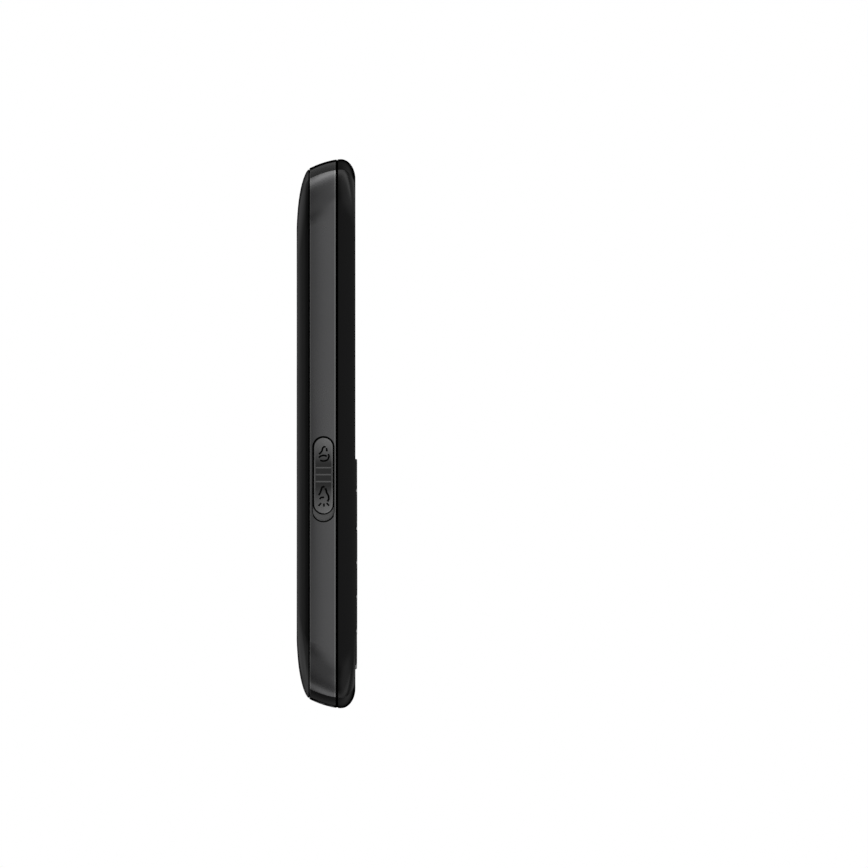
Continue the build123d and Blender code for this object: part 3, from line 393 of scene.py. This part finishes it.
def button_painted_light(graph, coord, tint):
    """Painted light and shade on the torch button's satin: a painted sheen brightening its ends, painted
    shade in its hollow, painted highlights on its ribs and round its edge, and painted light on the slide
    behind.
    """
    place = graph.axes(coord)
    away = graph.distance_from(place["Z"], (BUTTON[1] + BUTTON[2]) / 2 * MM)
    share = graph.ramp(away, PAINTED_SHEEN_REACH[0] * MM, PAINTED_SHEEN_REACH[1] * MM, kind="SMOOTHSTEP")
    tint = graph.mix(PAINTED_SHEEN_SHARE, tint, graph.mix(share, grey(PAINTED_SHEEN_GREYS[0]), grey(PAINTED_SHEEN_GREYS[1])))
    across = graph.distance_from(place["Y"], BUTTON[0] * MM)
    hollow = graph.math("MULTIPLY", graph.math("LESS_THAN", across, HOLLOW_WIDTH * MM),
                        graph.ramp(away, HOLLOW_LENGTHS[0] * MM, HOLLOW_LENGTHS[1] * MM))
    ribs = 0.0
    for height in RIB_HEIGHTS:
        beside = graph.distance_from(place["Z"], height * MM)
        ribs = graph.math("ADD", ribs, graph.math("LESS_THAN", beside, RIB_HALF * MM))
    tint = graph.mix(hollow, tint, graph.mix(ribs, grey(PAINTED_HOLLOW_SHADE_GREY), grey(PAINTED_RIB_HIGHLIGHT_GREY)))
    rim = graph.math("GREATER_THAN", slot_distance(graph, coord, BUTTON), (BUTTON[3] - RIM_WIDTH) * MM)
    tint = graph.mix(graph.math("MULTIPLY", rim, RIM_SHARE), tint, grey(PAINTED_RIM_HIGHLIGHT_GREY))
    return graph.mix(graph.math("GREATER_THAN", place["X"], SLIDE_X * MM), tint, grey(PAINTED_SLIDE_LIGHT_GREY))


# painted shade: near black mixed over the grooves, gaps, end caps and outlines where shadow falls
PAINTED_SHADE_BLACK = grey(0.001)


def make_material(name, color, rough, grain=(2500.0, 0.04), mottle=(60.0, 0.12), metal=0.0, specular=0.5,
                  coat=0.0, coat_rough=0.1, clear=0.0, edge=0.06, rough_spread=0.06, seams=False,
                  painted_highlight_grey=None, rim=None, shaded=None, painted_light=None):
    """Node material: blotches of tone, uneven roughness, fine grain and softened edges.

    grain is (scale, depth in mm), mottle is (scale, share of the tone), edge the softened radius in mm,
    seams turns on painted shade over the grooves, and the other options give the grey of the painted
    highlight lines beside them, the two facings between which painted shade darkens the gloss towards
    the outline, and the functions that give a mask of painted shade and a tint with painted light and
    shade.
    """
    material = bpy.data.materials.new(name)
    material.use_nodes = True
    graph = Graph(material.node_tree)
    coord = graph.add("ShaderNodeTexCoord").outputs["Object"]
    blotch = graph.add("ShaderNodeTexNoise",
                       {"Vector": coord, "Scale": mottle[0], "Detail": 5.0, "Roughness": 0.6}).outputs[0]
    dark = [c * (1 - mottle[1]) for c in color] + [1]
    light = [c * (1 + mottle[1]) for c in color] + [1]
    tint = graph.mix(blotch, dark, light)
    # painted highlight: lighter lines beside the seams
    if painted_highlight_grey:
        tint = graph.mix(bands_mask(graph, coord, PAINTED_HIGHLIGHT_BANDS), tint, grey(painted_highlight_grey))
    fine = graph.add("ShaderNodeTexNoise", {"Vector": coord, "Scale": grain[0], "Detail": 3.0})
    uneven = graph.ramp(blotch, 0.0, 1.0, rough - rough_spread, rough + rough_spread)
    soft_edge = graph.add("ShaderNodeBevel", {"Radius": edge * MM}, samples=4)
    bump = graph.add("ShaderNodeBump", {"Strength": 1.0, "Distance": grain[1] * MM,
                                        "Height": fine.outputs[0], "Normal": soft_edge.outputs[0]})
    # painted light and shade from the given tint function
    if painted_light:
        tint = painted_light(graph, coord, tint)
    inputs = {"Base Color": tint, "Roughness": uneven, "Metallic": metal,
              "Specular IOR Level": specular, "Coat Weight": coat, "Coat Roughness": coat_rough,
              "Transmission Weight": clear, "Normal": bump.outputs[0]}
    surface = graph.add("ShaderNodeBsdfPrincipled", inputs).outputs[0]
    # painted shade: each of these masks mixes in the near-black shader
    dark_masks = []
    if seams:
        dark_masks.append(bands_mask(graph, coord, SEAMS))
    if shaded:
        dark_masks.append(shaded(graph, coord))
    # painted shade: the gloss is darkened to black towards the outline
    if rim:
        facing = graph.add("ShaderNodeLayerWeight", {"Blend": 0.5}).outputs["Facing"]
        dark_masks.append(graph.ramp(facing, *rim))
    for mask in dark_masks:
        painted_shade_bsdf = graph.add("ShaderNodeBsdfDiffuse", {"Color": PAINTED_SHADE_BLACK, "Roughness": 1.0})
        surface = graph.add("ShaderNodeMixShader", {0: mask, 1: surface, 2: painted_shade_bsdf.outputs[0]}).outputs[0]
    graph.add("ShaderNodeOutputMaterial", {"Surface": surface})
    return material


# painted shade darkens the shells' seams, outlines, slot, openings and caps; painted highlights and sheen
# light the band and button
MATERIALS = {
    "housing_black": make_material("housing_black", (0.003, 0.003, 0.0032), 0.26, grain=(3000, 0.002),
                                   specular=0.34, seams=True, rim=(0.55, 0.92)),
    "frame_satin": make_material("frame_satin", (0.26, 0.26, 0.265), 0.26, grain=(3500, 0.003), metal=0.9,
                                 seams=True, painted_highlight_grey=0.42, rim=(0.885, 0.905), shaded=frame_shade,
                                 painted_light=frame_painted_highlights),
    "cover_black": make_material("cover_black", (0.003, 0.003, 0.0032), 0.30, grain=(3000, 0.003),
                                 seams=True, rim=(0.88, 0.98)),
    "window_glass": make_material("window_glass", (0.3, 0.3, 0.32), 0.03, grain=(200, 0.0005), clear=0.9,
                                  specular=0.3, rough_spread=0.01),
    "adhesive_black": make_material("adhesive_black", (0.004, 0.004, 0.004), 0.6),
    "display_dark": make_material("display_dark", (0.012, 0.013, 0.016), 0.15, grain=(2000, 0.0001),
                                  specular=0.15),
    "mesh_steel": make_material("mesh_steel", (0.16, 0.16, 0.165), 0.4, metal=1.0, grain=(4000, 0.02)),
    "speaker_black": make_material("speaker_black", (0.02, 0.02, 0.02), 0.55),
    "silicone": make_material("silicone", (0.03, 0.03, 0.032), 0.6, grain=(1500, 0.01)),
    "dome_steel": make_material("dome_steel", (0.5, 0.5, 0.5), 0.35, metal=1.0),
    "board_green": make_material("board_green", (0.01, 0.07, 0.03), 0.4, grain=(1200, 0.01)),
    "shield_steel": make_material("shield_steel", (0.5, 0.5, 0.51), 0.32, metal=1.0, grain=(1800, 0.004)),
    "jack_black": make_material("jack_black", (0.015, 0.015, 0.015), 0.5),
    "lamp_yellow": make_material("lamp_yellow", (0.75, 0.62, 0.16), 0.4),
    "lens_clear": make_material("lens_clear", (0.85, 0.88, 0.9), 0.08, clear=0.9, grain=(300, 0.001)),
    "legend_white": make_material("legend_white", (0.6, 0.61, 0.61), 0.5, grain=(3000, 0.001)),
    "legend_green": make_material("legend_green", (0.03, 0.4, 0.08), 0.5, grain=(3000, 0.001)),
    "legend_red": make_material("legend_red", (0.5, 0.02, 0.015), 0.5, grain=(3000, 0.001)),
    "sign_dark": make_material("sign_dark", (0.004, 0.004, 0.004), 0.8, specular=0.1),
    "slider_satin": make_material("slider_satin", (0.26, 0.26, 0.265), 0.26, grain=(3500, 0.003), metal=0.9,
                                  shaded=button_shade, painted_light=button_painted_light),
    "chassis_black": make_material("chassis_black", (0.02, 0.02, 0.021), 0.55, grain=(1600, 0.02)),
    "battery_grey": make_material("battery_grey", (0.09, 0.092, 0.1), 0.4, grain=(900, 0.01)),
    "contact_gold": make_material("contact_gold", (0.72, 0.5, 0.2), 0.28, metal=1.0),
    "screw_steel": make_material("screw_steel", (0.22, 0.22, 0.23), 0.35, metal=1.0),
    "key_black": make_material("key_black", (0.006, 0.006, 0.0065), 0.22, grain=(2500, 0.002), coat=0.3),
}

slots = {s["node"]: s["material_slot"] for s in frame["record"]["subparts"]}
for name, obj in nodes.items():
    obj.data.materials.clear()
    obj.data.materials.append(MATERIALS[slots[name]])


# Pieces that ride on a body
def new_piece(name, mesh, material, body):
    obj = link(bpy.data.objects.new(name, mesh))
    mesh.materials.clear()
    mesh.materials.append(material)
    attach(obj, body)
    return obj


def stroke_solid(name, points, radius):
    """Round bar along a smooth line through the points, as a mesh."""
    curve = bpy.data.curves.new(name, "CURVE")
    curve.dimensions = "3D"
    curve.bevel_depth = radius
    curve.bevel_resolution = 1
    curve.resolution_u = 3
    curve.use_fill_caps = True
    spline = curve.splines.new("NURBS")
    spline.points.add(len(points) - 1)
    for place, point in zip(spline.points, points):
        place.co = (*point, 1.0)
    spline.order_u = 3
    spline.use_endpoint_u = True
    obj = link(bpy.data.objects.new(name, curve))
    mesh = bpy.data.meshes.new_from_object(obj.evaluated_get(bpy.context.evaluated_depsgraph_get()))
    bpy.data.objects.remove(obj)
    return mesh


# Torch button: the solid with a lamp sign engraved near each end of its face
# how far the signs stand towards the screen from its middle, the strokes' radius and the steps along them
SIGN_SHIFT = 0.13
STROKE = 0.22
STROKE_STEPS = 3
WELD_DISTANCE = 0.0001
SMOOTH_ANGLE = 25
# each sign: the height of its bulb's middle, and strokes as (towards the screen, up) in millimetres
SIGNS = (
    (54.87, (
        ((0.35, 2.2), (0.0, 2.3), (-0.3, 2.0), (-0.4, 1.5), (-0.7, 1.0), (-1.15, 0.65)),
        ((0.5, 2.0), (0.6, 1.65), (0.6, 1.25)),
        ((0.95, 0.7), (1.1, 0.15), (0.85, -0.5), (0.3, -0.8), (-0.3, -0.85), (-0.85, -0.7)),
        ((-1.15, -0.1), (-0.75, 0.25), (-0.2, 0.4), (0.3, 0.35), (0.6, 0.15)),
    )),
    (46.16, (
        ((0.1, 2.1), (-0.15, 2.3), (-0.45, 2.1), (-0.65, 1.5), (-0.85, 0.9), (-1.2, 0.4)),
        ((0.25, 1.95), (0.45, 1.5), (0.6, 0.9), (0.95, 0.3), (1.05, -0.4), (0.75, -1.0)),
        ((-1.0, -0.45), (-0.65, -0.1), (0.0, -0.05)),
        ((-0.65, -1.3), (-1.2, -1.95)),
        ((-0.05, -1.4), (0.0, -2.1)),
        ((0.55, -1.3), (1.1, -1.9)),
    )),
)


def plain_mesh(name, source):
    """Closed copy of a mesh, its seams welded and without the normals that came with it."""
    shape = bmesh.new()
    shape.from_mesh(source)
    bmesh.ops.remove_doubles(shape, verts=shape.verts, dist=WELD_DISTANCE * MM)
    shape.verts.index_update()
    points = [v.co[:] for v in shape.verts]
    faces = [[v.index for v in f.verts] for f in shape.faces]
    shape.free()
    mesh = bpy.data.meshes.new(name)
    mesh.from_pydata(points, [], faces)
    return mesh


def make_torch_button():
    source = nodes["torch_slider"]
    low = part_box("torch_slider")[0]
    tree = BVHTree.FromPolygons([v.co[:] for v in source.data.vertices],
                                [list(p.vertices) for p in source.data.polygons])
    button = new_piece("torch_button", plain_mesh("torch_button", source.data), MATERIALS["slider_satin"],
                       "torch_slider")
    for height, strokes in SIGNS:
        for stroke in strokes:
            places = [Vector((low.x - MM, (BUTTON[0] - SIGN_SHIFT - y) * MM, (height + z) * MM))
                      for y, z in stroke]
            line = places[:1]
            for a, b in zip(places, places[1:]):
                line += [a.lerp(b, k / STROKE_STEPS) for k in range(1, STROKE_STEPS + 1)]
            points = [tree.ray_cast(place, Vector((1, 0, 0)))[0] for place in line]
            solid = stroke_solid("sign", points, STROKE * MM)
            cutter = link(bpy.data.objects.new("sign", solid))
            solid.materials.append(MATERIALS["sign_dark"])
            cut = button.modifiers.new("engrave", "BOOLEAN")
            cut.operation = "DIFFERENCE"
            cut.solver = "EXACT"
            cut.use_self = True
            cut.material_mode = "TRANSFER"
            cut.object = cutter
            shape = bpy.data.meshes.new_from_object(
                button.evaluated_get(bpy.context.evaluated_depsgraph_get()))
            button.modifiers.clear()
            button.data = shape
            bpy.data.objects.remove(cutter)
    button.data.shade_smooth()
    button.data.set_sharp_from_angle(angle=math.radians(SMOOTH_ANGLE))
    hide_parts("torch_slider")


make_torch_button()


# Key legends: printed numerals, small letters and signs, a hair proud of each key's front
PRINT_PROUD = 0.006
PRINT_DEPTH = 0.03
NUMERAL_SIZE = 4.6
LETTER_SIZE = 2.5
# where they stand on a key that has letters too, from the key's middle
NUMERAL_SHIFT = -2.6
LETTER_PLACE = (-0.6, -0.1)
# the handset signs: radii of the grip's two sides, of the two ends' inner side and of the sign's middle,
# and the angles of the outer side, of one end's inner side and of the grip's inner side
HANDSET_RADII = (2.9, 2.1, 1.5, 2.2)
HANDSET_BACK = range(-62, 63, 8)
HANDSET_END = (62, 52, 42)
HANDSET_FRONT = range(38, -39, -8)
# half the length and half the thickness of the soft keys' dashes
DASH = (1.7, 0.22)
KEY_PRINTS = {
    "key_1": ("1", ""), "key_2": ("2", "abc"), "key_3": ("3", "def"),
    "key_4": ("4", "ghi"), "key_5": ("5", "jkl"), "key_6": ("6", "mno"),
    "key_7": ("7", "pqrs"), "key_8": ("8", "tuv"), "key_9": ("9", "wxyz"),
    "key_star": ("*", "+"), "key_0": ("0", "_"), "key_hash": ("#", ""),
}


def text_mesh(words, size, align):
    curve = bpy.data.curves.new("print", "FONT")
    curve.body = words
    curve.size = size * MM
    curve.align_x = align
    curve.align_y = "CENTER"
    curve.extrude = PRINT_DEPTH / 2 * MM
    curve.resolution_u = 4
    obj = link(bpy.data.objects.new("print", curve))
    mesh = bpy.data.meshes.new_from_object(obj.evaluated_get(bpy.context.evaluated_depsgraph_get()))
    bpy.data.objects.remove(obj)
    return mesh


def outline_mesh(points):
    """Flat plate inside an outline given in millimetres."""
    half = PRINT_DEPTH / 2
    count = len(points)
    corners = [(x * MM, y * MM, side * MM) for side in (-half, half) for x, y in points]
    faces = [list(range(count - 1, -1, -1)), list(range(count, 2 * count))]
    faces += [[k, (k + 1) % count, count + (k + 1) % count, count + k] for k in range(count)]
    mesh = bpy.data.meshes.new("print")
    mesh.from_pydata(corners, [], faces)
    return mesh


def polar(radius, degrees):
    return radius * math.cos(math.radians(degrees)), radius * math.sin(math.radians(degrees))


def handset_outline(turn):
    """Curved grip with an ear piece and a mouth piece, turned by some degrees."""
    back, front, ends, centre = HANDSET_RADII
    outer = [polar(back, turn + a) for a in HANDSET_BACK]
    inner = [polar(ends, turn + a) for a in HANDSET_END]
    inner += [polar(front, turn + a) for a in HANDSET_FRONT]
    inner += [polar(ends, turn - a) for a in reversed(HANDSET_END)]
    middle = polar(centre, turn)
    return [(x - middle[0], y - middle[1]) for x, y in outer + inner]


def bar_outline(half_width, half_height):
    return [(-half_width, -half_height), (half_width, -half_height), (half_width, half_height),
            (-half_width, half_height)]


def print_on(name, node, meshes, material):
    """Legend on a key's front; the meshes come with their places from the key's middle, in millimetres."""
    low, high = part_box(node)
    joined = bmesh.new()
    for mesh, (x, z) in meshes:
        place = Vector(((low.x + high.x) / 2 + x * MM, low.y + (PRINT_DEPTH / 2 - PRINT_PROUD) * MM,
                        (low.z + high.z) / 2 + z * MM))
        mesh.transform(Matrix.Translation(place) @ Matrix.Rotation(math.pi / 2, 4, "X"))
        joined.from_mesh(mesh)
    result = bpy.data.meshes.new(name)
    joined.to_mesh(result)
    joined.free()
    new_piece(name, result, MATERIALS[material], node)


def make_legends():
    for node, (numeral, letters) in KEY_PRINTS.items():
        shift = NUMERAL_SHIFT if letters else 0.0
        pieces = [(text_mesh(numeral, NUMERAL_SIZE, "CENTER"), (shift, 0.0))]
        if letters:
            pieces.append((text_mesh(letters, LETTER_SIZE, "LEFT"), LETTER_PLACE))
        print_on("print_" + node, node, pieces, "legend_white")
    print_on("print_call", "call_key", [(outline_mesh(handset_outline(135)), (0, 0))], "legend_green")
    print_on("print_end", "end_key", [(outline_mesh(handset_outline(90)), (0, 0))], "legend_red")
    for side in ("left", "right"):
        print_on("print_soft_" + side, "soft_key_" + side, [(outline_mesh(bar_outline(*DASH)), (0, 0))],
                 "legend_white")


make_legends()


# Battery: contact signs on its back, with half their length and half their thickness, and how far they
# stand from its middle and above its foot
BATTERY_SIGN = (1.0, 0.2)
BATTERY_SIGN_X = 4.0
BATTERY_SIGN_Z = 3.0


def make_battery_print():
    low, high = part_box("battery")
    back = high.y - (PRINT_DEPTH / 2 - PRINT_PROUD) * MM
    bar = bar_outline(*BATTERY_SIGN)
    post = bar_outline(*reversed(BATTERY_SIGN))
    joined = bmesh.new()
    turned = Matrix.Rotation(-math.pi / 2, 4, "X")
    for points, x in ((bar, -BATTERY_SIGN_X), (post, -BATTERY_SIGN_X), (bar, BATTERY_SIGN_X)):
        mesh = outline_mesh(points)
        place = Vector((x * MM, back, low.z + BATTERY_SIGN_Z * MM))
        mesh.transform(Matrix.Translation(place) @ turned)
        joined.from_mesh(mesh)
    result = bpy.data.meshes.new("battery_signs")
    joined.to_mesh(result)
    joined.free()
    new_piece("battery_signs", result, MATERIALS["legend_white"], "battery")


make_battery_print()
